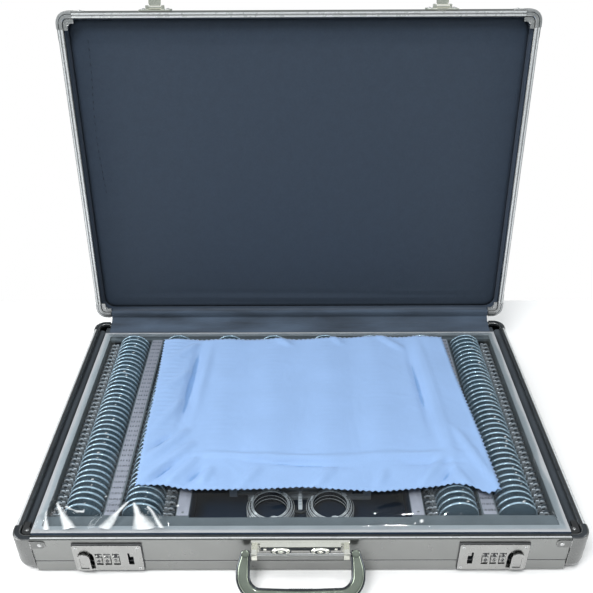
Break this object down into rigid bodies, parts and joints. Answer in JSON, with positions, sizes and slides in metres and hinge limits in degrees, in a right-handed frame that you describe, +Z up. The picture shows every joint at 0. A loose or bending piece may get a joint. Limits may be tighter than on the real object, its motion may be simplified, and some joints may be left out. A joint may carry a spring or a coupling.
{
  "type": "trial lens set",
  "caption": "Open aluminium attache case with rows of rimmed trial lenses in a tray, a trial frame, a clear film and a blue cleaning cloth.",
  "frame": {"origin": "middle of the base's underside, on the surface that the case stands on", "axes": "+X along the hinge to the right, +Y from the locks towards the hinges, +Z up"},
  "size_m": [0.52, 0.4731, 0.4426],
  "materials": {
    "rail_aluminium": "satin anodised",
    "corner_metal": "fine satin",
    "case_skin": "satin, finely ribbed",
    "chrome_hardware": "polished",
    "steel_small_parts": "machined",
    "dial_metal": "knurled, with engraved numbers",
    "lining_fabric": "fine matte weave",
    "tray_board": "matte",
    "tray_edging": "satin",
    "number_strip": "satin, with engraved numbers",
    "black_plastic": "semi-matte",
    "lens_rim": "polished",
    "lens_glass": "polished",
    "frame_metal": "polished",
    "clear_film": "clear and glossy",
    "cloth_fabric": "fine woven microfibre"
  },
  "bodies": {
    "base": {"base_rail_front": "rail_aluminium", "base_rail_back": "rail_aluminium", "base_rail_left": "rail_aluminium", "base_rail_right": "rail_aluminium", "base_corner_front_left": "corner_metal", "base_corner_front_right": "corner_metal", "base_corner_back_left": "corner_metal", "base_corner_back_right": "corner_metal", "base_floor_panel": "case_skin", "base_liner": "lining_fabric", "lens_tray": "tray_board", "tray_edging": "tray_edging", "lens_row_1": "lens_rim", "lens_rows_2_3": "lens_rim", "lens_rows_4_5": "lens_rim", "lens_rows_6_7": "lens_rim", "lens_row_8": "lens_rim", "trial_frame_bar": "frame_metal", "trial_frame_temple_left": "frame_metal", "trial_frame_temple_right": "frame_metal", "lock_housing_left": "chrome_hardware", "dial_shaft_left": "steel_small_parts", "lock_housing_right": "chrome_hardware", "dial_shaft_right": "steel_small_parts", "handle_bracket": "chrome_hardware", "handle_pivot_rod": "chrome_hardware", "hinge_base_leaf": "rail_aluminium", "hinge_rod": "steel_small_parts"},
    "lid": {"lid_rail_front": "rail_aluminium", "lid_rail_back": "rail_aluminium", "lid_rail_left": "rail_aluminium", "lid_rail_right": "rail_aluminium", "lid_corner_front_left": "corner_metal", "lid_corner_front_right": "corner_metal", "lid_corner_back_left": "corner_metal", "lid_corner_back_right": "corner_metal", "lid_panel": "case_skin", "lid_lining": "lining_fabric", "hasp_bracket_left": "chrome_hardware", "hasp_bracket_right": "chrome_hardware", "hinge_lid_leaf": "rail_aluminium", "hinge_flap": "lining_fabric"},
    "frame_ring_left": {"trial_frame_ring_left": "frame_metal"},
    "frame_drum_left": {"trial_frame_drum_left": "frame_metal"},
    "frame_ring_right": {"trial_frame_ring_right": "frame_metal"},
    "frame_drum_right": {"trial_frame_drum_right": "frame_metal"},
    "nose_rest": {"trial_frame_nose_rest": "frame_metal"},
    "film": {"clear_film": "clear_film"},
    "cloth": {"cleaning_cloth": "cloth_fabric"},
    "slider_left": {"release_slider_left": "chrome_hardware"},
    "dial_left_1": {"combination_dial_left_1": "dial_metal"},
    "dial_left_2": {"combination_dial_left_2": "dial_metal"},
    "dial_left_3": {"combination_dial_left_3": "dial_metal"},
    "hasp_left": {"hasp_left": "chrome_hardware"},
    "slider_right": {"release_slider_right": "chrome_hardware"},
    "dial_right_1": {"combination_dial_right_1": "dial_metal"},
    "dial_right_2": {"combination_dial_right_2": "dial_metal"},
    "dial_right_3": {"combination_dial_right_3": "dial_metal"},
    "hasp_right": {"hasp_right": "chrome_hardware"},
    "handle": {"carry_handle": "chrome_hardware"}
  },
  "joints": [
    {"name": "lid_hinge", "type": "hinge", "parent": "base", "child": "lid", "pos_m": [0, 0.183, 0.04315], "axis": [1, 0, 0], "range_deg": [0, 97], "deforming": ["hinge_flap"]},
    {"name": "hasp_left_hinge", "type": "hinge", "parent": "lid", "child": "hasp_left", "pos_m": [-0.1535, 0.23633, 0.40485], "axis": [1, 0, 0], "range_deg": [0, 90]},
    {"name": "hasp_right_hinge", "type": "hinge", "parent": "lid", "child": "hasp_right", "pos_m": [0.1535, 0.23633, 0.40485], "axis": [1, 0, 0], "range_deg": [0, 90]},
    {"name": "handle_hinge", "type": "hinge", "parent": "base", "child": "handle", "pos_m": [0, -0.1875, 0.033], "axis": [1, 0, 0], "range_deg": [-100, 0]},
    {"name": "slider_left_slide", "type": "slide", "parent": "base", "child": "slider_left", "axis": [1, 0, 0], "range_m": [0, 0.0015], "stiffness_N_per_m": 150, "springref_m": -0.002},
    {"name": "slider_right_slide", "type": "slide", "parent": "base", "child": "slider_right", "axis": [-1, 0, 0], "range_m": [0, 0.0015], "stiffness_N_per_m": 150, "springref_m": -0.002},
    {"name": "dial_left_1_spin", "type": "hinge", "parent": "base", "child": "dial_left_1", "pos_m": [-0.1824, -0.1749, 0.019], "axis": [1, 0, 0], "continuous": true},
    {"name": "dial_left_2_spin", "type": "hinge", "parent": "base", "child": "dial_left_2", "pos_m": [-0.1746, -0.1749, 0.019], "axis": [1, 0, 0], "continuous": true},
    {"name": "dial_left_3_spin", "type": "hinge", "parent": "base", "child": "dial_left_3", "pos_m": [-0.1668, -0.1749, 0.019], "axis": [1, 0, 0], "continuous": true},
    {"name": "dial_right_1_spin", "type": "hinge", "parent": "base", "child": "dial_right_1", "pos_m": [0.1824, -0.1749, 0.019], "axis": [1, 0, 0], "continuous": true},
    {"name": "dial_right_2_spin", "type": "hinge", "parent": "base", "child": "dial_right_2", "pos_m": [0.1746, -0.1749, 0.019], "axis": [1, 0, 0], "continuous": true},
    {"name": "dial_right_3_spin", "type": "hinge", "parent": "base", "child": "dial_right_3", "pos_m": [0.1668, -0.1749, 0.019], "axis": [1, 0, 0], "continuous": true},
    {"name": "film_lift", "type": "slide", "parent": "base", "child": "film", "axis": [0, 0, -1], "range_m": [-0.08, 0]},
    {"name": "cloth_lift", "type": "slide", "parent": "film", "child": "cloth", "axis": [0, 0, -1], "range_m": [-0.08, 0]},
    {"name": "frame_ring_left_slide", "type": "slide", "parent": "base", "child": "frame_ring_left", "axis": [1, 0, 0], "range_m": [-0.002, 0.002]},
    {"name": "frame_drum_left_spin", "type": "hinge", "parent": "frame_ring_left", "child": "frame_drum_left", "pos_m": [-0.0285, -0.126, 0.024], "axis": [0, 0, 1], "continuous": true},
    {"name": "frame_ring_right_slide", "type": "slide", "parent": "base", "child": "frame_ring_right", "axis": [1, 0, 0], "range_m": [-0.002, 0.002]},
    {"name": "frame_drum_right_spin", "type": "hinge", "parent": "frame_ring_right", "child": "frame_drum_right", "pos_m": [0.0285, -0.126, 0.024], "axis": [0, 0, 1], "continuous": true},
    {"name": "nose_rest_slide", "type": "slide", "parent": "base", "child": "nose_rest", "axis": [0, 1, 0], "range_m": [-0.003, 0.003]}
  ]
}
